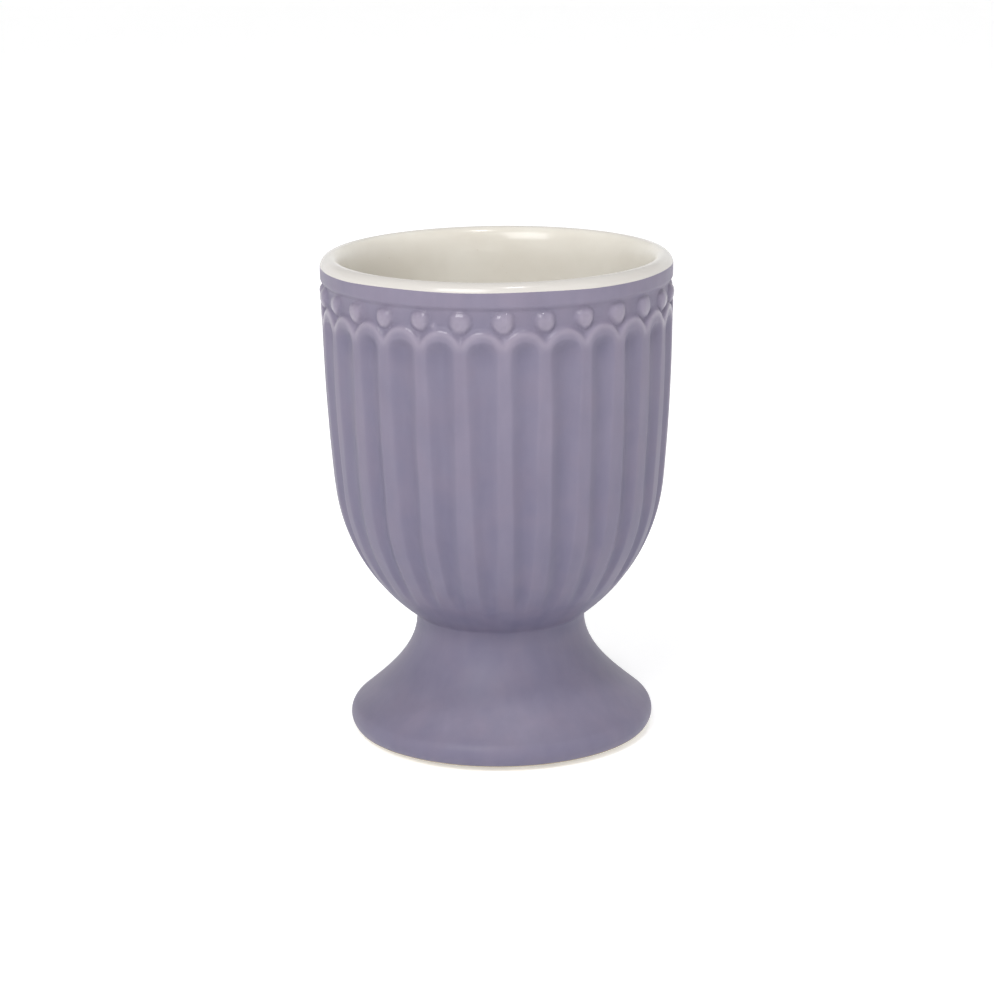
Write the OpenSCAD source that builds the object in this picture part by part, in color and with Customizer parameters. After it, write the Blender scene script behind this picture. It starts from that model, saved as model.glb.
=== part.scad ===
// Footed egg cup in glazed stoneware, in millimetres.
// It stands on z = 0 with its axis on the Z axis, and its front faces -Y.
// Every outline is drawn as the glazed surface, and the clay under it is that outline set in by the coat.

/* [Overall] */
// Height from the table to the crest of the lip
height = 70; // [64:1:80]
// Diameter outside at the lip
rim_d = 50; // [48:0.5:56]

/* [Lip and band] */
// Radius of the half-round lip, half of the wall there
lip_r = 1.5; // [1.2:0.1:1.8]
// How far the cream lining comes down outside from the crest
cream_drop = 1.2; // [0.8:0.1:1.4]
// Lower edge of the plain band, below the crest
band_drop = 3.2; // [2.6:0.1:3.6]

/* [Bowl] */
// How far the round belly stands inside the rim
belly_in = 1.25; // [0.8:0.05:2]
// How far the wall swells out between belly and lip
wall_swell = 0.3; // [0.1:0.05:0.5]
// How far the flat turned under the bowl stands inside the neck
base_in = 1.45; // [1:0.05:3]
// Thickness of the wall at the belly, between the ribs and the well
belly_wall = 3.25; // [3:0.05:4.5]
// Thickness of the bowl under the middle of the well, with its glaze
floor_t = 3.2; // [2.6:0.1:5]

/* [Flutes] */
// Number of flutes, ribs and beads
flute_count = 27; // [24:1:30]
// Depth of a flute below the ribs
flute_depth = 0.5; // [0.3:0.05:0.6]
// Width of a flute as a share of the room between two ribs' middles
flute_share = 0.82; // [0.7:0.01:0.86]
// Centre of the flutes' round tops, below the crest
flute_drop = 10.1; // [9.6:0.1:12]
// Height above the bowl's flat where the flutes end
flute_end_h = 4.9; // [4.4:0.1:7]
// Height above the bowl's flat where their floors would leave the belly
run_out_h = 2.4; // [1.6:0.1:3]

/* [Arches and beads] */
// Top of the arches, below the crest
arch_drop = 6.1; // [5.9:0.1:7]
// Height of an arch's top above the notches beside it
arch_rise = 2.3; // [1.8:0.05:2.4]
// Depth of the sunk ground between the arches and the band
ground_depth = 0.5; // [0.35:0.05:0.6]
// Radius of a bead
bead_r = 1.6; // [1.4:0.05:1.7]
// How far a bead stands out of the sunk ground
bead_proud = 0.6; // [0.45:0.05:0.8]
// Centre of the bead row, below the crest
bead_drop = 5.15; // [5:0.05:5.4]

/* [Foot] */
// Height of the foot up to the flat where the bowl is stuck on
foot_h = 17; // [15:0.5:20]
// Diameter outside at the widest of the foot
foot_d = 44.2; // [42:0.2:48]
// Diameter of the neck
neck_d = 24.3; // [23:0.1:26]
// Radius of the hollow curve from the neck down
flare_r = 10.2; // [9:0.1:11]
// Radius of the foot's round nose
nose_r = 2.2; // [1.9:0.1:2.5]
// Height of the nose's middle above the table
nose_h = 2.25; // [2:0.05:2.6]
// Outer diameter of the flat foot ring
ring_d = 38.4; // [37.4:0.2:39.4]
// Height of the bevel between the foot ring and the nose
bevel_h = 0.8; // [0.6:0.05:1]
// Diameter of the hollow under the foot, at the table
hollow_d = 34; // [31:0.5:35]
// Depth of the hollow under the foot
hollow_h = 11.5; // [9:0.25:12.5]

/* [Joint and glaze] */
// Thickness of the slip between bowl and foot
slip_t = 0.3; // [0.2:0.05:0.5]
// Thickness of the glaze
coat = 0.3; // [0.2:0.05:0.35]
// Thickness of the glaze on the steps of the relief, where it runs thin
thin_coat = 0.2; // [0.1:0.02:0.24]

/* [Hidden] */
$fn = 96;
// Number of sides for what goes round the whole cup
round_fn = 240;

// How far a cut runs past what it cuts
over = 1;
// One bead stands this much to the right of the front, in degrees, and the front is at -90
bead_turn = 1.8;
front_turn = bead_turn - 90;
pitch = 360 / flute_count;

rim_r = rim_d / 2;
lip_z = height - lip_r;
cream_z = height - cream_drop;
band_z = height - band_drop;

// The belly is a ball that stands on the slip with its flat
neck_r = neck_d / 2;
belly_r = rim_r - belly_in;
bowl_z = foot_h + slip_t;
belly_z = bowl_z + sqrt(pow(belly_r, 2) - pow(neck_r - base_in, 2));

// The wall goes from the belly to the lip in two straight stretches that meet at a knee
knee_share = 0.58;
knee_z = belly_z + knee_share * (lip_z - belly_z);
knee_r = belly_r + knee_share * (rim_r - belly_r) + wall_swell;
function wall_r(z) = knee_r + (rim_r - knee_r) * (z - knee_z) / (lip_z - knee_z);

// The well's round bottom is a ball too, and its mouth is the lip's inner side
well_r = belly_r - belly_wall;
well_z = bowl_z + floor_t + well_r;
mouth_r = rim_r - 2 * lip_r;

// A flute's scoop is part of a circle, through its deepest line and its two edges
half_pitch = wall_r(height - arch_drop) * sin(pitch / 2);
flute_r = (pow(flute_share * half_pitch, 2) + pow(flute_depth, 2)) / (2 * flute_depth);

// A flute's floor is a straight line from the middle of its round top down to the belly,
// then an arc that comes out through the belly, where the flute has been cut off just before
flute_z = height - flute_drop;
floor_r = wall_r(flute_z) - flute_depth;
inner_belly_r = belly_r - flute_depth;
top_reach = norm([floor_r, flute_z - belly_z]);
flute_lean = acos(inner_belly_r / top_reach) - atan2(flute_z - belly_z, floor_r);
turn_p = [inner_belly_r * cos(flute_lean), belly_z - inner_belly_r * sin(flute_lean)];
flute_l = norm([floor_r, flute_z] - turn_p);
end_z = bowl_z + flute_end_h;
out_z = bowl_z + run_out_h;
out_p = [sqrt(pow(belly_r, 2) - pow(belly_z - out_z, 2)), out_z];
drop_v = out_p - turn_p;
curve_r = (drop_v * drop_v) / (2 * drop_v * [-cos(flute_lean), sin(flute_lean)]);
curve_a = 2 * asin(norm(drop_v) / (2 * curve_r));

// An arch goes through its top and the notches in the middles of the ribs
arch_r = (pow(half_pitch, 2) + pow(arch_rise, 2)) / (2 * arch_rise);
arch_z = height - arch_drop - arch_r;

// Centre of a bead
bead_z = height - bead_drop;
bead_c = [wall_r(bead_z) - ground_depth - bead_r + bead_proud, 0, bead_z];

// The flare and the nose share a tangent line, the straight slope of the foot
nose_c = [foot_d / 2 - nose_r, nose_h];
flare_c = [neck_r + flare_r, foot_h];
slope_v = nose_c - flare_c;
slope_a = atan2(slope_v[1], slope_v[0]) - acos((flare_r + nose_r) / norm(slope_v));
slope_n = [cos(slope_a), sin(slope_a)];

// The hollow under the foot is the cap of a ball
hollow_r = (pow(hollow_d / 2, 2) + pow(hollow_h, 2)) / (2 * hollow_h);
hollow_z = hollow_h - hollow_r;

// Outline of the bowl, solid to the axis and set in by c
module bowl_outline(c) {
  intersection() {
    translate([0, belly_z]) circle(r = belly_r - c);
    translate([0, bowl_z]) square([belly_r, belly_z - bowl_z]);
  }
  polygon([
    [0, belly_z], [belly_r - c, belly_z], [knee_r - c, knee_z], [rim_r - c, lip_z], [0, lip_z]
  ]);
}

// Outline of the foot, solid to the axis and set in by c
module foot_outline(c) {
  difference() {
    union() {
      translate(nose_c) circle(r = nose_r - c);
      polygon([
        [0, 0], [ring_d / 2, 0], nose_c, nose_c - (nose_r - c) * slope_n,
        flare_c + (flare_r + c) * slope_n, [neck_r - c, foot_h], [0, foot_h]
      ]);
    }
    translate(flare_c) circle(r = flare_r + c);
    polygon([
      [ring_d / 2, 0], [foot_d / 2, bevel_h], [foot_d / 2 + over, bevel_h], [foot_d / 2 + over, -over],
      [ring_d / 2, -over]
    ]);
  }
}

// Outline of the neck, from the foot up to where it is well inside the bowl
module neck_outline(c) {
  translate([0, foot_h]) square([neck_r - c, end_z - foot_h]);
}

// Outline of the egg well, wider by c
module well_outline(c) {
  intersection() {
    translate([0, well_z]) circle(r = well_r + c);
    translate([0, bowl_z]) square([well_r + c, well_z - bowl_z]);
  }
  polygon([[0, well_z], [well_r + c, well_z], [mouth_r + c, lip_z], [0, lip_z]]);
}

// Hollow under the foot, larger by c
module hollow_outline(c) {
  intersection() {
    translate([0, hollow_z]) circle(r = hollow_r + c);
    square([hollow_d, hollow_h + c]);
  }
}

// Half-round lip set in by c
module lip_outline(c) {
  translate([rim_r - lip_r, lip_z]) circle(r = lip_r - c);
}

// Repeats a shape in front of every flute
module each_flute() {
  for (i = [0 : flute_count - 1]) {
    rotate([0, 0, front_turn + (i + 0.5) * pitch]) children();
  }
}

// Room of one flute between the middles of its ribs, from where it ends up
module sector() {
  room_share = 0.97;
  reach = rim_r + over;
  side = reach * tan(room_share * pitch / 2);
  translate([0, 0, end_z]) linear_extrude(height = height - end_z)
    polygon([[0, 0], [reach, -side], [reach, side]]);
}

// One flute's scoop, larger by c
module scoop(c) {
  intersection() {
    translate([turn_p[0], 0, turn_p[1]]) rotate([0, flute_lean, 0]) translate([flute_r, 0, 0]) {
      rotate_extrude() {
        square([flute_r + c, flute_l]);
        intersection() {
          translate([0, flute_l]) circle(r = flute_r + c);
          translate([0, flute_l]) square(flute_r + c);
        }
      }
      translate([-(curve_r + flute_r), 0, 0]) rotate([-90, 0, 0])
        rotate_extrude(angle = curve_a) translate([curve_r + flute_r, 0]) circle(r = flute_r + c);
    }
    sector();
  }
}

// Sunk ground between the arches and the band: a ring with a scalloped lower edge
module sunk_ring(c, thin) {
  low_z = arch_z + sqrt(pow(arch_r, 2) - pow(half_pitch, 2)) / 2;
  high_z = band_z + thin;
  sink = ground_depth + c;
  arch_from = wall_r(low_z) - sink - over;
  difference() {
    rotate_extrude($fn = round_fn) polygon([
      [wall_r(low_z) - sink, low_z], [rim_r + over, low_z],
      [rim_r + over, high_z], [wall_r(high_z) - sink, high_z]
    ]);
    each_flute() translate([arch_from, 0, arch_z]) rotate([0, 90, 0])
      cylinder(h = rim_r + 2 * over - arch_from, r = arch_r - thin);
  }
}

// Repeats a shape at the centre of every bead
module at_beads() {
  for (i = [0 : flute_count - 1]) {
    rotate([0, 0, front_turn + i * pitch]) translate(bead_c) children();
  }
}

// Outline of the whole cup up to the cream edge, solid to the axis and set in by c
module body_outline(c) {
  bowl_outline(c);
  neck_outline(c);
  foot_outline(c);
}

// The cup's outside with its relief, solid to the axis: the glazed one, or the clay under it
module glazed_body() {
  difference() {
    rotate_extrude($fn = round_fn) {
      body_outline(0);
      intersection() {
        lip_outline(0);
        translate([rim_r - lip_r, 0]) square([lip_r, cream_z]);
      }
    }
    each_flute() scoop(0);
    sunk_ring(0, 0);
  }
}

module clay_body() {
  difference() {
    rotate_extrude($fn = round_fn) {
      body_outline(coat);
      lip_outline(coat);
      translate([0, knee_z]) square([rim_r - lip_r, height - knee_z]);
    }
    each_flute() scoop(coat);
    sunk_ring(coat, thin_coat);
  }
}

// Bowl of clay, without its glaze
module bowl() {
  color([0.80, 0.74, 0.66]) difference() {
    rotate_extrude($fn = round_fn) difference() {
      union() {
        bowl_outline(coat);
        lip_outline(coat);
      }
      well_outline(coat);
    }
    each_flute() scoop(coat);
    sunk_ring(coat, thin_coat);
  }
}

// Foot of clay. Its ring and bevel are bare, so the clay has its full size there and steps in above
module foot() {
  color([0.80, 0.74, 0.66]) rotate_extrude($fn = round_fn) difference() {
    union() {
      foot_outline(coat);
      intersection() {
        foot_outline(0);
        square([foot_d, bevel_h]);
      }
    }
    hollow_outline(0);
    intersection() {
      hollow_outline(coat);
      translate([0, bevel_h]) square([foot_d, foot_h]);
    }
  }
}

// Layer of slip between the flats, with the fillet that it forms round them
module slip_joint() {
  color([0.72, 0.66, 0.58]) rotate_extrude($fn = round_fn) difference() {
    neck_outline(coat);
    bowl_outline(coat);
  }
}

// Domes of clay set on the sunk ground
module bead_row() {
  low_z = bead_z - bead_r;
  high_z = bead_z + bead_r;
  sink = ground_depth + coat;
  color([0.84, 0.78, 0.70]) difference() {
    at_beads() sphere(r = bead_r - coat);
    rotate_extrude($fn = round_fn) polygon([
      [0, low_z], [wall_r(low_z) - sink, low_z], [wall_r(high_z) - sink, high_z], [0, high_z]
    ]);
  }
}

// Cream coat of the well and the lip
module lining_glaze() {
  color([0.93, 0.91, 0.86]) rotate_extrude($fn = round_fn) difference() {
    union() {
      well_outline(coat);
      intersection() {
        lip_outline(0);
        translate([0, lip_z]) square([rim_r, lip_r]);
      }
    }
    well_outline(0);
    translate([0, lip_z]) square([mouth_r, lip_r]);
    lip_outline(coat);
    translate([rim_r - lip_r, 0]) square([lip_r + over, cream_z]);
  }
}

// Lavender coat of the whole outside, from the cream edge down to the bare bevel
module outer_glaze() {
  color([0.60, 0.57, 0.66]) difference() {
    union() {
      glazed_body();
      at_beads() sphere(r = bead_r);
    }
    clay_body();
    at_beads() sphere(r = bead_r - coat);
    translate([0, 0, -over]) cylinder(h = bevel_h + over, r = foot_d);
  }
}

// Lavender coat inside the hollow of the foot
module hollow_glaze() {
  color([0.55, 0.52, 0.60]) rotate_extrude($fn = round_fn) difference() {
    hollow_outline(coat);
    hollow_outline(0);
    square([foot_d, bevel_h]);
  }
}

bowl();
foot();
slip_joint();
bead_row();
lining_glaze();
outer_glaze();
hollow_glaze();
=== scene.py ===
# %% [markdown]
# # A glazed egg cup, turned and carved in Blender
# The cup is stoneware. Its clay is hidden under coats of glaze, and the coats are what one sees.
# So the lesson loads the solid model as a fixed frame, and then builds the visible skins: the
# lavender coat outside, the cream lining, and the bare clay ring on which the cup stands.

# %% Load the fixed frame
import math
import random

import bpy
import numpy as np
from mathutils import Matrix, Vector


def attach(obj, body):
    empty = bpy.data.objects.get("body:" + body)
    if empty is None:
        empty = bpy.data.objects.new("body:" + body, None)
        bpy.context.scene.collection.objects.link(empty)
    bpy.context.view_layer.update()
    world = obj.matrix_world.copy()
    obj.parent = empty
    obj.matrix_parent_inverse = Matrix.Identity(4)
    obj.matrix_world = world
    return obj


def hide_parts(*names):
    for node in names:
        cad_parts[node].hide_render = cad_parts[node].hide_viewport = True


MM = 0.001
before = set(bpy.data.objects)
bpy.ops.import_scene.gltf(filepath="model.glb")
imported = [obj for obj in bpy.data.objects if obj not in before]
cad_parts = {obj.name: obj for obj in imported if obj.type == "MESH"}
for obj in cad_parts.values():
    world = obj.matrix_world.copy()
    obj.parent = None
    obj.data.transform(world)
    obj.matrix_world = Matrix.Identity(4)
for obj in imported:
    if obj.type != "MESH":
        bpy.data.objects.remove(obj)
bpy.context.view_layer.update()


# %% [markdown]
# ## The camera
# The photograph looks down on the cup by about 15 degrees from 40 cm away, with a short telephoto
# lens. The cup leans a little to the left in it, so the camera is rolled by the same small angle.

# %% Place the camera
LOOK_DOWN, ROLL, DISTANCE = math.radians(14.87), math.radians(-0.69), 398.4
AIM = Vector((-0.32, 0, 34.25)) * MM
SENSOR, LENS = 36, 99.67

bpy.ops.object.camera_add()
camera = bpy.context.object
camera.name = "studio_camera"
camera.data.sensor_width = SENSOR
camera.data.lens = LENS
camera.location = AIM + DISTANCE * MM * Vector((0, -math.cos(LOOK_DOWN), math.sin(LOOK_DOWN)))
tilt = Matrix.Rotation(math.pi / 2 - LOOK_DOWN, 3, "X") @ Matrix.Rotation(ROLL, 3, "Z")
camera.rotation_euler = tilt.to_euler()
bpy.context.scene.camera = camera
print("camera at", [round(n, 4) for n in camera.location])

# %% [markdown]
# ## Turning a section
# A cup is round, so each skin starts as its cross-section, and a turn about the upright axis makes
# the body, as a profile tool does on a potter's wheel. The section is a closed loop of points, so
# the turned piece is a closed shell. A circle primitive gives the loop, and its points are moved
# onto the section one by one. This keeps every ring of the mesh where it is wanted.

# %% The turning tool
WELD = 2e-6  # points closer than this, in metres, become one


def turn_section(name, points, steps):
    bpy.ops.object.select_all(action="DESELECT")
    bpy.ops.mesh.primitive_circle_add(vertices=len(points), radius=1)
    piece = bpy.context.object
    piece.name = name
    for vertex, (r, z) in zip(piece.data.vertices, points):
        vertex.co = (r * MM, 0, z * MM)
    bpy.ops.object.mode_set(mode="EDIT")
    bpy.ops.mesh.select_all(action="SELECT")
    bpy.ops.mesh.spin(steps=steps, angle=math.tau, center=(0, 0, 0), axis=(0, 0, 1))
    bpy.ops.mesh.select_all(action="SELECT")
    bpy.ops.mesh.remove_doubles(threshold=WELD)
    bpy.ops.mesh.normals_make_consistent(inside=False)
    bpy.ops.object.mode_set(mode="OBJECT")
    bpy.ops.object.shade_smooth()
    print(name, "has", len(piece.data.polygons), "faces")
    return piece


def arc(centre, radius, start, end, count):
    angles = np.radians(np.linspace(start, end, count))
    return [(centre[0] + radius * math.cos(a), centre[1] + radius * math.sin(a)) for a in angles]


def set_in(points, distance):
    """The same open line of points, moved to the right of its direction."""
    line = np.array(points)
    along = np.gradient(line, axis=0)
    along /= np.linalg.norm(along, axis=1)[:, None]
    return [tuple(p) for p in line + distance * np.column_stack([along[:, 1], -along[:, 0]])]


# %% [markdown]
# ## The bowl's outline
# The belly is one arc. The wall above it swells a little on its way up, and past the beads it runs
# almost straight up to the rim. One short formula gives all three stretches.

# %% Outline of the bowl
BELLY_X, BELLY_Z, BELLY_R = -3.83, 40.06, 27.71
JOIN_Z, TOP_Z = 37.6, 64.0
SLOPE, LAST_SLOPE, LAST_RISE = 0.089, 0.012, 5


def wall_r(z):
    z = np.asarray(z, dtype=float)
    belly = BELLY_X + np.sqrt(BELLY_R ** 2 - (np.minimum(z, JOIN_Z) - BELLY_Z) ** 2)
    swell_h = TOP_Z - JOIN_Z
    up = np.clip(z - JOIN_Z, 0, swell_h)
    swell = SLOPE * (up - up ** 2 / (2 * swell_h))
    return belly + swell + LAST_SLOPE * np.clip(z - TOP_Z, 0, LAST_RISE)


def rows(*stretches):
    """Heights of the rings: (from, to, number) for each stretch, each start counted once."""
    heights = [np.linspace(a, b, n, endpoint=False) for a, b, n in stretches]
    return np.append(np.concatenate(heights), stretches[-1][1])


print("wall radius at 20, 40 and 60 mm:", [round(float(wall_r(z)), 2) for z in (20, 40, 60)])

# %% [markdown]
# ## The lavender coat of the bowl
# On the real cup the relief is pressed into the clay by the mould, and the glaze softens it. Here
# the blank is turned first, with rings close together where the beads and arches come, and the
# relief is then a formula that moves each point in or out, square to the wall. All 27 sectors share
# the formula, but each gets its own small errors, because no two beads on such a cup are quite
# alike. The blank is a closed shell, thick enough for the deepest flute.

# %% Turn the blank of the bowl's coat
FLUTES, PER_FLUTE = 27, 26
FRONT = -90  # direction of the front, in degrees
FRONT_TURN = 1.8  # one bead stands this many degrees to the right of the front
PITCH = 360 / FLUTES
SHELL = 1.1  # thickness of the blank

outer_z = rows((17.1, 19.5, 4), (19.5, 27, 18), (27, 57.5, 26), (57.5, 60.5, 9), (60.5, 67.3, 38),
               (67.3, 68.6, 6))
outer = [(float(wall_r(z)), float(z)) for z in outer_z]
glaze_edge = [(24.99, 68.75), (24.93, 68.86), (24.75, 68.92)]
inner_z = [68.5, 64, 58, 50, 42, 36, 31, 27, 24, 21, 18.5, 17.3]
inner = [(float(wall_r(z)) - SHELL, z) for z in inner_z]
bowl_coat = turn_section("bowl_coat", outer + glaze_edge + inner, FLUTES * PER_FLUTE)

# %% [markdown]
# ### What the relief is made of
# Heights are in millimetres, and 0 is the plain wall. Everything is built from two small curves: a
# step that eases from 0 to 1, and a hill. The dice give each flute and each bead its own errors,
# from -1 to 1, and always throw the same because their seed is fixed.

# %% Sizes, small errors and the two curves
FLUTE_DEPTH, FLUTE_TOP, TOP_ROUND = 0.62, 62.2, 2.6
GROUND_DEPTH, BAND_Z = 0.50, 66.85
ARCH_Z, ARCH_R, ARCH_BLEND = 60.75, 2.93, 0.4
BEAD_Z, BEAD_R, BEAD_H = 64.6, 1.56, 0.74
DROP_AT, DROP_Z, DROP_R, DROP_H = -110.5, 64.15, 0.36, 0.28
WALL_BY_DROP = 24.5  # radius of the wall there
dice = random.Random(11)
uneven = {key: np.array([dice.uniform(-1, 1) for _ in range(FLUTES)])
          for key in ("bead_x", "bead_z", "bead_r", "bead_h", "bead_wave",
                      "width", "depth", "shift", "crest")}


def ease(start, end, value):
    t = np.clip((value - start) / (end - start), 0, 1)
    return t * t * (3 - 2 * t)


def hill(away, width):
    return np.exp(-(away / width) ** 2)


print("errors of the first flute:", {key: round(float(row[0]), 2) for key, row in uneven.items()})

# %% [markdown]
# ### The flutes
# A flute is a soft scoop with a round top. It grows wider and deeper on its way up, runs out into
# the belly below, and wanders a little from side to side, as a hand-finished one does.

# %% The formula of the flutes
def flutes(x, side, reach, flute, z):
    """How far the wall goes in, and how far inside a scoop the point is, from 0 to 1."""
    share = 0.29 + 0.05 * ease(24, 44, z) + 0.045 * ease(46, 60, z)  # wider on the way up
    half = reach * share * (1 + 0.1 * uneven["width"][flute])
    sway = 0.14 * uneven["shift"][flute] + 0.08 * np.sin(z / 6 + 5 * uneven["width"][flute])
    sway = sway + 0.04 * np.sin(z / 2.2 + 9 * uneven["depth"][flute])
    across = np.abs(x - side * sway) / half
    over = np.clip((z - (FLUTE_TOP - TOP_ROUND)) / TOP_ROUND, 0, None)
    scoop = np.clip(1 - across ** 2 - over ** 3, 0, 1) ** 1.5
    depth = FLUTE_DEPTH * (1 + 0.14 * uneven["depth"][flute]) * ease(21.2, 25.5, z)  # run-out
    depth = depth * (0.7 + 0.3 * ease(24, 40, z)) + 0.2 * ease(57, 61.0, z)  # deepest at the top
    return depth * scoop, scoop


# %% [markdown]
# ### The arches
# Each arch is a circle round the top of its flute. The sunk ground starts beyond the nearest
# circle, and a soft minimum of two distances rounds off the notch where two arches meet.

# %% The formula of the arches
def beyond_arch(x, side, reach, flute, z):
    """How far the point is beyond the nearest arch; less than 0 is under it."""
    crest = ARCH_Z + 0.17 * side * uneven["crest"][flute]
    rise = np.maximum(z - crest, 0.01)
    own = np.clip(np.hypot(x, rise) - ARCH_R, -6, 6)
    next_one = np.clip(np.hypot(reach - np.abs(x), rise) - ARCH_R, -6, 6)
    return -ARCH_BLEND * np.log(np.exp(-own / ARCH_BLEND) + np.exp(-next_one / ARCH_BLEND))


# %% [markdown]
# ### The beads
# A bead is a dome, squarer above and narrower below, with a faint groove down its face. Beside one
# of them sits a stray drop of glaze.

# %% The formulas of the beads and the drop
def beads(turn, reach, z):
    """The dome, from 0 beside a bead to 1 on its middle, and how full it is there."""
    bead = np.round(turn).astype(int) % FLUTES
    bx = (turn - np.round(turn)) * reach - 0.10 * uneven["bead_x"][bead]
    bz = z - BEAD_Z - 0.10 * uneven["bead_z"][bead]
    radius = BEAD_R * (1 + 0.07 * uneven["bead_r"][bead])
    lobes = 0.03 * np.cos(3 * np.arctan2(bz, bx) + 4 * uneven["bead_wave"][bead])
    narrow = 1 + 0.16 * np.clip(-bz / radius, 0, 1)
    square = np.where(bz > 0, 2.8, 2.0)
    off = (np.abs(bx * narrow) ** square + np.abs(bz) ** square) ** (1 / square)
    dome = np.clip(1 - (off / (radius * (1 + lobes))) ** 2.5, 0, 1) ** 0.85
    groove = 0.09 * hill(bx - 0.2 * uneven["bead_wave"][bead], 0.28)
    return dome, 1 + 0.1 * uneven["bead_h"][bead] + 0.16 * np.clip(bz / radius, -1, 1) - groove


def stray_drop(angle, z):
    beside = (angle - DROP_AT) * np.radians(1) * WALL_BY_DROP
    return np.exp(-(beside ** 2 + (z - DROP_Z) ** 2) / DROP_R ** 2)


# %% [markdown]
# ### The whole relief
# The strip between the arches and the band is sunk, with a faint raised rim along each arch, and
# the beads stand in it, one over each rib.

# %% Put the relief together
def relief(angle, z):
    """How far a point at this angle (in degrees) and height stands out, and what it is on."""
    turn = (angle - FRONT - FRONT_TURN) / PITCH
    reach = np.radians(PITCH) * wall_r(z)
    flute = np.floor(turn).astype(int) % FLUTES
    x = (turn - np.floor(turn) - 0.5) * reach
    side = 1 - (2 * x / reach) ** 2
    cut, scoop = flutes(x, side, reach, flute, z)
    beyond = beyond_arch(x, side, reach, flute, z)
    ground = ease(-0.25, 0.5, beyond) * ease(-0.15, 0.75, BAND_Z - z) * (z > 58)
    rim = 0.06 * hill(beyond + 0.6, 0.45) * ease(59.5, 61.5, z)
    crown = hill(beyond + 0.35, 0.48) * ease(60.2, 62.0, z)
    dome, full = beads(turn, reach, z)
    drop = stray_drop(angle, z)
    height = -cut - GROUND_DEPTH * ground + rim + BEAD_H * full * dome + DROP_H * drop
    return height, {"ground": ground, "scoop": scoop, "dome": np.maximum(dome, drop),
                    "crown": crown}


# %% [markdown]
# ### How thin the glaze lies, and the painted light and shade
# The glaze runs thin over edges, arches and beads, and gathers in the flutes and lower down the
# bowl. That is kept on the mesh as a number at each point, and the glaze's colour follows it. The
# number also carries painted light: painted highlights on rib tops, beads and arch crests, painted
# shade in the flutes, strongest under the arches, painted light at the band and painted shade
# towards the bottom of the bowl.

# %% Note the thinness and the painted light and shade
def thinness_and_painted_light_on_bowl(height, form, z):
    # Paler on beads and arch crests: thin glaze, and partly a painted highlight.
    thin_and_painted_light = 0.5 + 0.38 * form["dome"] + 0.3 * form["crown"]
    # A pale line along each rib top: a painted highlight, with the glaze thin on the edge.
    thin_and_painted_light = thin_and_painted_light + 0.12 * hill(height - 0.03, 0.09) * (z < 64.5) * (z > 22)
    thin_and_painted_light = thin_and_painted_light + 0.02 * form["ground"] * (1 - form["dome"])
    # Darker in the flutes: gathered glaze, and painted shade in the recess, strongest under the
    # arches.
    thin_and_painted_light = thin_and_painted_light - 0.11 * form["scoop"] * (1 + 1.2 * ease(57, 60.5, z))
    # Lighter towards the band and darker towards the bottom: painted light and shade from above,
    # with the glaze also gathering low.
    return thin_and_painted_light + 0.14 * ease(64, 67, z) - 0.3 * ease(58, 18, z)


def note_thinness_and_painted_light(mesh, values):
    attribute = mesh.attributes.new("thinness", "FLOAT", "POINT")
    attribute.data.foreach_set("value", np.clip(values, 0, 1).astype(np.float32))


# %% [markdown]
# ### Carving
# Only the outer points move. Those of the wall go in or out square to it, and a slow waver keeps
# the bowl from being perfectly round and the glaze's upper edge from being perfectly level.

# %% Carve the coat
SKIN, BOTTOM_Z, BAND_END, EDGE_Z = 0.3, 17, 68.6, 68.65


def carve(piece):
    mesh = piece.data
    co = np.empty(len(mesh.vertices) * 3)
    mesh.vertices.foreach_get("co", co)
    co = co.reshape(-1, 3) / MM
    r, z = np.hypot(co[:, 0], co[:, 1]), co[:, 2]
    angle = np.degrees(np.arctan2(co[:, 1], co[:, 0]))
    skin = (r > wall_r(z) - SKIN) & (z > BOTTOM_Z)
    height, form = relief(angle, z)
    lean = (wall_r(z + 0.05) - wall_r(z - 0.05)) / 0.1
    length = np.sqrt(1 + lean ** 2)
    waver = 0.035 * np.sin(np.radians(angle * 3 + 40))
    waver = waver + 0.025 * np.sin(np.radians(angle * 7 + z * 9))
    out = np.where(skin & (z < BAND_END), height, 0)
    z_new = z - out * lean / length + np.where(skin & (z > EDGE_Z), 1.6 * waver, 0)
    r_new = r + out / length + np.where(skin & (z < 67), 0.6 * waver * ease(17, 30, z), 0)
    co[:, 0], co[:, 1] = r_new * np.cos(np.radians(angle)), r_new * np.sin(np.radians(angle))
    co[:, 2] = z_new
    mesh.vertices.foreach_set("co", (co * MM).ravel())
    note_thinness_and_painted_light(mesh, thinness_and_painted_light_on_bowl(height, form, z))
    mesh.update()
    print("relief from", round(float(out.min()), 2), "to", round(float(out.max()), 2), "mm")


carve(bowl_coat)

# %% [markdown]
# ## The lavender coat of the foot
# The neck flows out into the foot in one free curve, and the foot ends in a round nose. The curve
# is a cubic with two given handles, because an arc and a straight line would show a flat
# stretch. The coat stops just over the table, where the glaze is wiped off before the firing.

# %% Turn the coat of the foot
NOSE, NOSE_R, COAT = (19.9, 2.25), 2.2, 0.3


def free_curve(a, b, c, d, count):
    t = np.linspace(0, 1, count)[:, None]
    a, b, c, d = (np.array(p) for p in (a, b, c, d))
    line = a * (1 - t) ** 3 + 3 * b * t * (1 - t) ** 2 + 3 * c * t ** 2 * (1 - t) + d * t ** 3
    return [tuple(p) for p in line]


neck = [(12.9, 18.35), (12.6, 17.9), (12.38, 17.5)]
flare = neck + free_curve((12.22, 17.1), (12.02, 11.7), (17.2, 7.4), (21.31, 3.94), 26)
foot_skin = flare + arc(NOSE, NOSE_R, 46, -40, 14)
foot_under = set_in(foot_skin, COAT)[::-1]
foot_coat = turn_section("foot_coat", foot_skin + foot_under, 192)

foot_z = np.array([v.co.z for v in foot_coat.data.vertices]) / MM
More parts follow.
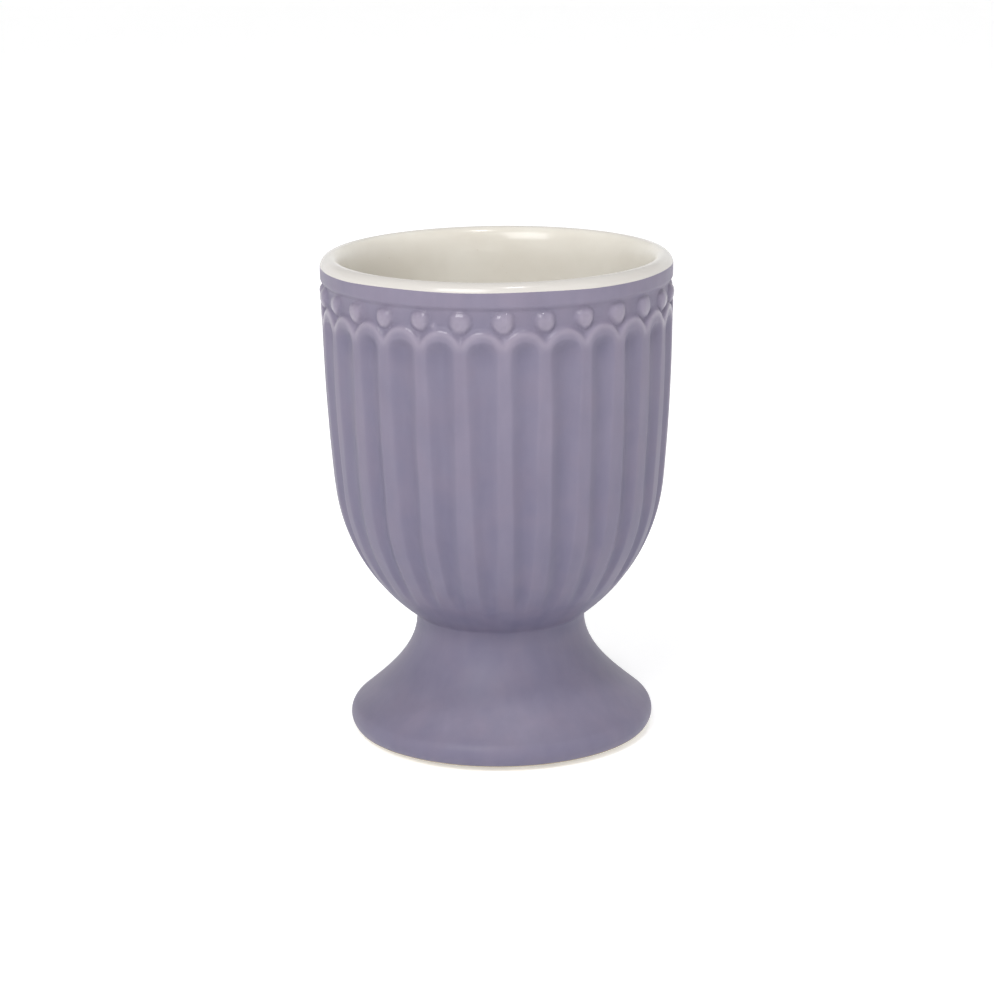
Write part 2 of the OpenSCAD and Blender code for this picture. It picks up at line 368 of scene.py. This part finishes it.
# The foot gets a lower number than the bowl, so it shows darker: thicker glaze, and painted shade
# from the bowl above it.
thin_and_painted_shade_on_foot = 0.32 + 0.2 * hill(foot_z - 6, 2.4) - 0.08 * ease(3.8, 2.4, foot_z)
# Darker still up at the neck: painted shade in the crease under the bowl.
note_thinness_and_painted_light(foot_coat.data, thin_and_painted_shade_on_foot - 0.22 * ease(15, 17.2, foot_z))

# %% [markdown]
# ## The bare clay of the foot
# Under the coat the foot is clay. All that shows is its bevel and the flat ring that touches the
# table, and the rest of the section only closes the body: up the hollow, and back under the coat.

# %% Turn the clay foot
HOLLOW_Z, HOLLOW_R, HOLLOW_EDGE, HOLLOW_COAT = -6.82, 18.32, 0.25, 0.2


def hollow_line(inset, count=20):
    radius = HOLLOW_R + inset
    low = math.degrees(math.asin((HOLLOW_EDGE - HOLLOW_Z) / radius))
    return arc((0, HOLLOW_Z), radius, low, 90, count)


clay_out = set_in(foot_skin[3:], COAT)
bevel = [(21.62, 0.86), (21.5, 0.72), (20.9, 0.47), (20.2, 0.24), (19.6, 0.07), (19.2, 0.0)]
ring = [(18.1, 0.0), (17.25, 0.0), (17.08, 0.06)]
clay_top = [(0, 16.9), (11.7, 16.9)]
foot_clay = turn_section("foot_clay", clay_out + bevel + ring + hollow_line(HOLLOW_COAT) + clay_top,
                         144)
hollow_section = hollow_line(0.0) + hollow_line(HOLLOW_COAT)[::-1]
hollow_coat = turn_section("hollow_coat", hollow_section, 144)
note_thinness_and_painted_light(hollow_coat.data, np.full(len(hollow_coat.data.vertices), 0.35))

# %% [markdown]
# ## The cream lining
# The egg well is a ball at the bottom and a slight cone above it. A free curve leads from the cone
# up to the crest of the lip, softly, and a quarter round leads down outside, where the lining ends
# under the edge of the lavender coat. On the outer half of the lip the colour is a little greyer
# and
# darker: the glaze lies thin there, and it is painted shade that tones down the light on the lip's
# top, so the lining too gets a number at each point.

# %% Turn the lining
WELL_Z, WELL_R, MOUTH = 41.0, 20.5, (21.6, 68.5)
LIP, LIP_R, CREST = (23.5, 68.5), 1.5, (23.5, 70.0)
side = math.atan2(MOUTH[1] - WELL_Z, MOUTH[0])
far = math.hypot(MOUTH[0], MOUTH[1] - WELL_Z)
touch = math.degrees(side - math.acos(WELL_R / far))
ball = arc((0, WELL_Z), WELL_R, -90, touch, 40)
cone = [tuple(np.array(ball[-1]) * (1 - t) + np.array(MOUTH) * t) for t in np.linspace(0.08, 1, 14)]
inner_lip = free_curve(cone[-3], (21.55, 67.0), (21.95, 69.85), CREST, 20)[1:]
well = ball + cone[:-2] + inner_lip + arc(LIP, LIP_R, 90, 8, 12)[1:] + [(24.82, 68.45)]
cream_lining = turn_section("cream_lining", well + set_in(well, COAT)[::-1], 192)
lining_z = np.array([v.co.z for v in cream_lining.data.vertices]) / MM
lining_r = np.array([v.co.xy.length for v in cream_lining.data.vertices]) / MM
# The number marks the outer half of the lip, which the cream glaze paints greyer: thin glaze and
# painted shade on the lip's top.
note_thinness_and_painted_light(cream_lining.data, ease(67.4, 69.2, lining_z) * ease(22.6, 24.0, lining_r))

# %% [markdown]
# ## The clay of the bowl
# Nothing of this clay is seen on a finished cup. It fills the room between the two coats, so that
# the cup is solid wherever it is cut, and one plain turned core is enough for that.

# %% Turn the clay of the bowl
core = set_in(well, COAT)[:-1] + [(24.3, 68.5)] + inner[1:] + [(11.7, 17.3), (0, 17.3)]
bowl_clay = turn_section("bowl_clay", core, 144)

# %% [markdown]
# ## A small language for the finishes
# A finish is a graph of nodes. So that it reads like arithmetic, one class wraps a socket and turns
# plus, minus and times into Math nodes, and one method adds every other kind of node.

# %% Sockets that can be reckoned with
class Wire:
    def __init__(self, finish, socket):
        self.finish, self.socket = finish, socket

    def maths(self, operation, first, second):
        return self.finish.node("ShaderNodeMath", {"operation": operation}, {0: first, 1: second})

    def __add__(self, other): return self.maths("ADD", self, other)
    def __radd__(self, other): return self.maths("ADD", other, self)
    def __sub__(self, other): return self.maths("SUBTRACT", self, other)
    def __rsub__(self, other): return self.maths("SUBTRACT", other, self)
    def __mul__(self, other): return self.maths("MULTIPLY", self, other)
    def __rmul__(self, other): return self.maths("MULTIPLY", other, self)


class Finish:
    def __init__(self, name):
        self.material = bpy.data.materials.new(name)
        self.material.use_nodes = True
        self.tree = self.material.node_tree
        self.tree.nodes.clear()

    def node(self, kind, settings=None, sockets=None, out=0):
        node = self.tree.nodes.new(kind)
        for key, value in (settings or {}).items():
            if key == "stops":
                ramp = node.color_ramp.elements
                for _ in value[2:]:
                    ramp.new(0.5)
                for stop, (place, grey) in zip(ramp, value):
                    stop.position, stop.color = place, (grey, grey, grey, 1)
            else:
                setattr(node, key, value)
        for key, value in (sockets or {}).items():
            if isinstance(value, Wire):
                self.tree.links.new(value.socket, node.inputs[key])
            else:
                node.inputs[key].default_value = value
        return Wire(self, node.outputs[out]) if node.outputs else None

    def noise(self, size_mm, detail=3.0, rough=0.5, stretch=None):
        place = self.node("ShaderNodeTexCoord", out="Object")
        if stretch:
            place = self.node("ShaderNodeMapping", {}, {"Vector": place, "Scale": stretch})
        return self.node("ShaderNodeTexNoise", {}, {"Vector": place, "Scale": 1 / (size_mm * MM),
                                                    "Detail": detail, "Roughness": rough})

    def blend(self, factor, first, second):
        return self.node("ShaderNodeMix", {"data_type": "RGBA"},
                         {0: factor, 6: first, 7: second}, out=2)

    def steps(self, value, *stops):
        return self.node("ShaderNodeValToRGB", {"stops": stops}, {"Fac": value})

    def bump(self, height, strength, depth_mm):
        return self.node("ShaderNodeBump", {}, {"Strength": strength, "Distance": depth_mm * MM,
                                                "Height": height})

    def surface(self, **sockets):
        named = {key.replace("_", " "): value for key, value in sockets.items()}
        shader = self.node("ShaderNodeBsdfPrincipled", {}, named)
        self.node("ShaderNodeOutputMaterial", {}, {"Surface": shader})

    def __call__(self, *pieces):
        for piece in pieces:
            piece.data.materials.clear()
            piece.data.materials.append(self.material)
        print(self.material.name, "on", [piece.name for piece in pieces])


def paint(*screen):
    """Red, green and blue as a screen shows them, from 11 to 255, made linear for the shader."""
    return (*(((part / 255 + 0.055) / 1.055) ** 2.4 for part in screen), 1.0)


# %% [markdown]
# ## The lavender glaze
# A satin glaze over stoneware is never one flat colour. It breaks paler and pinker on edges, where
# it runs thin, and it is deeper and bluer where it gathers. The same colours also carry painted
# light: painted highlights on ribs, beads and arch crests, painted light at the band, and painted
# shade in the flutes, low on the bowl and on the foot under it. Over that lie a slow cloudiness,
# faint runs, and a fine grain of pores that only shows close by. On the beads and arches, where the
# glaze lies thinnest, it is also glossier, and there it catches small glints.

# %% Mix the lavender glaze
def lavender():
    glaze = Finish("lavender_glaze")
    thinness = glaze.node("ShaderNodeAttribute", {"attribute_name": "thinness"}, out="Fac")
    cloud = glaze.noise(7, 3.0, 0.55)
    runs = glaze.noise(2.2, 2.0, 0.5, (1, 1, 0.22))
    grain = glaze.noise(0.32, 2.0, 0.6)
    lie_and_painted_light = thinness + (cloud - 0.5) * 0.36 + (runs - 0.5) * 0.3
    # The deep colour stands for gathered glaze and painted shade, the pale one for thin glaze and
    # painted highlights.
    deep_and_shaded, body, pale_and_lit = paint(97, 94, 116), paint(115, 110, 129), paint(135, 127, 144)
    colour = glaze.blend(glaze.steps(lie_and_painted_light, (0.0, 0.0), (0.5, 1.0)), deep_and_shaded, body)
    colour = glaze.blend(glaze.steps(lie_and_painted_light, (0.5, 0.0), (1.0, 1.0)), colour, pale_and_lit)
    warm = glaze.steps(glaze.noise(4.5, 2.0, 0.5), (0.42, 0.0), (0.66, 1.0))
    colour = glaze.blend(warm * 0.2, colour, paint(122, 111, 127))
    pores = glaze.steps(grain, (0.66, 0.0), (0.8, 1.0))
    colour = glaze.blend(pores * 0.16, colour, paint(92, 86, 104))
    height = glaze.noise(1.6, 2.0, 0.5) * 0.6 + grain * 0.12
    bump = glaze.bump(height, 0.25, 0.12)
    roughness = 0.46 + (cloud - 0.5) * 0.16 + pores * 0.1
    gloss = glaze.steps(thinness, (0.62, 0.0), (0.86, 0.6))
    glaze.surface(Base_Color=colour, Roughness=roughness, Normal=bump, IOR=1.5,
                  Specular_IOR_Level=0.24, Coat_Weight=gloss, Coat_Roughness=0.08)
    return glaze


lavender()(bowl_coat, foot_coat, hollow_coat)

# %% [markdown]
# ## The cream glaze
# The lining is an off-white with a little warmth, glossier than the outside, with a very faint
# cloudiness and a few tiny darker specks burnt out of the clay. Over the lip it is greyer: thin
# glaze, and painted shade on the lip's top.

# %% Mix the cream glaze
def cream():
    glaze = Finish("cream_glaze")
    cloud = glaze.noise(9, 3.0, 0.5)
    clouded = glaze.steps(cloud, (0.35, 0.0), (0.65, 1.0))
    colour = glaze.blend(clouded, paint(210, 205, 195), paint(217, 213, 204))
    thinness = glaze.node("ShaderNodeAttribute", {"attribute_name": "thinness"}, out="Fac")
    # Greyer on the outer lip: thin glaze and painted shade on its top.
    colour = glaze.blend(thinness, colour, paint(194, 190, 185))
    specks = glaze.steps(glaze.noise(0.7, 1.0, 0.5), (0.77, 0.0), (0.82, 1.0))
    colour = glaze.blend(specks * 0.25, colour, paint(186, 174, 150))
    bump = glaze.bump(glaze.noise(2.4, 2.0, 0.5), 0.2, 0.12)
    glaze.surface(Base_Color=colour, Roughness=0.2 + (cloud - 0.5) * 0.1, Normal=bump, IOR=1.5,
                  Specular_IOR_Level=0.32, Coat_Weight=0.1, Coat_Roughness=0.06)
    return glaze


cream()(cream_lining)

# %% [markdown]
# ## The bare stoneware
# Fired clay without glaze is matt and gritty: a grey-brown ground with darker and lighter grains.
# It shows on the foot ring and its bevel. The hidden clay of the bowl and the layer of slip get it
# too, so that nothing of the cup is left without a finish.

# %% Mix the stoneware
def stoneware(name, ground, grit):
    clay = Finish(name)
    cloud, grain = clay.noise(5, 3.0, 0.6), clay.noise(0.45, 3.0, 0.65)
    colour = clay.blend(clay.steps(cloud, (0.35, 0.0), (0.7, 1.0)), ground, grit)
    dark = clay.steps(grain, (0.6, 0.0), (0.72, 1.0))
    colour = clay.blend(dark * 0.4, colour, paint(112, 100, 84))
    bump = clay.bump(grain, 0.5, 0.2)
    clay.surface(Base_Color=colour, Roughness=0.86 - dark * 0.12, Normal=bump, IOR=1.45)
    return clay


bare = stoneware("stoneware", paint(168, 157, 138), paint(184, 174, 156))
bare(foot_clay, bowl_clay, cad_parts["bead_row"])
stoneware("slip", paint(160, 149, 130), paint(172, 161, 142))(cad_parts["slip_joint"])

# %% [markdown]
# ## What each piece stands for
# Every visible skin replaces the CAD node of the same layer and rides on the one body of the cup.

# %% Tie the pieces to the frame
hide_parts("outer_glaze")
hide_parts("outer_glaze")
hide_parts("foot")
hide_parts("bowl")
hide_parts("hollow_glaze")
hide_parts("lining_glaze")
for piece, slot in ((bowl_coat, "lavender_glaze"), (foot_coat, "lavender_glaze"),
                    (hollow_coat, "lavender_glaze"), (cream_lining, "cream_glaze"),
                    (foot_clay, "stoneware"), (bowl_clay, "stoneware")):
    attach(piece, "root")

# %% [markdown]
# ## The studio
# The cup stands in the middle of a wide white dish whose rim curves up, so that no horizon shows
# from any side. It glows very slightly, as an overexposed studio paper does. Then there is a large
# soft box at the left, a weaker one at the right, a small one overhead that gives the glints on the
# beads, and a small low one whose reflection shows inside the back of the lip.

# %% Floor and lights
DISH_R, DISH_Z = 1.2, -0.0001
RIM_STEPS, RIM_TURN, RIM_RISE, RIM_WIDER = 8, 10, 0.16, 0.1


def plain_dish():
    bpy.ops.object.select_all(action="DESELECT")
    bpy.ops.mesh.primitive_circle_add(vertices=96, radius=DISH_R, fill_type="TRIFAN",
                                      location=(0, 0, DISH_Z))
    dish = bpy.context.object
    dish.name = "floor"
    bpy.ops.object.mode_set(mode="EDIT")
    bpy.ops.mesh.select_mode(type="VERT")
    bpy.ops.mesh.select_all(action="DESELECT")
    bpy.ops.object.mode_set(mode="OBJECT")
    for vertex in dish.data.vertices:
        vertex.select = vertex.co.xy.length > DISH_R / 2
    bpy.ops.object.mode_set(mode="EDIT")
    for step in range(RIM_STEPS):
        slope = math.radians(RIM_TURN * (step + 1))
        bpy.ops.mesh.extrude_region_move(
            TRANSFORM_OT_translate={"value": (0, 0, RIM_RISE * math.sin(slope))})
        wide = 1 + RIM_WIDER * math.cos(slope)
        bpy.ops.transform.resize(value=(wide, wide, 1), center_override=(0, 0, 0))
    bpy.ops.object.mode_set(mode="OBJECT")
    bpy.ops.object.shade_smooth()
    return dish


floor = plain_dish()
paper = Finish("paper")
paper.surface(Base_Color=paint(246, 246, 246), Roughness=0.9, Emission_Color=(1, 1, 1, 1),
              Emission_Strength=0.36)
paper(floor)

world = bpy.data.worlds.new("studio")
world.use_nodes = True
sky = world.node_tree.nodes["Background"].inputs
sky["Color"].default_value, sky["Strength"].default_value = (1, 1, 1, 1), 0.46
bpy.context.scene.world = world


def soft_box(name, place, size, watts, aim=(0, 0, 0.035)):
    bpy.ops.object.light_add(type="AREA", location=place)
    lamp = bpy.context.object
    lamp.name = name
    lamp.data.shape, lamp.data.size, lamp.data.energy = "SQUARE", size, watts
    lamp.rotation_euler = (Vector(aim) - Vector(place)).to_track_quat("-Z", "Y").to_euler()
    print(name, watts, "W")


soft_box("left_box", (-0.33, -0.66, 0.72), 0.5, 6.0)
soft_box("right_box", (0.62, -0.40, 0.62), 0.5, 0.75)
soft_box("top_box", (0.10, -0.22, 0.80), 0.08, 1.1)
soft_box("low_box", (0.15, -0.82, 0.16), 0.2, 0.13)
bpy.context.scene.view_settings.view_transform = "Standard"
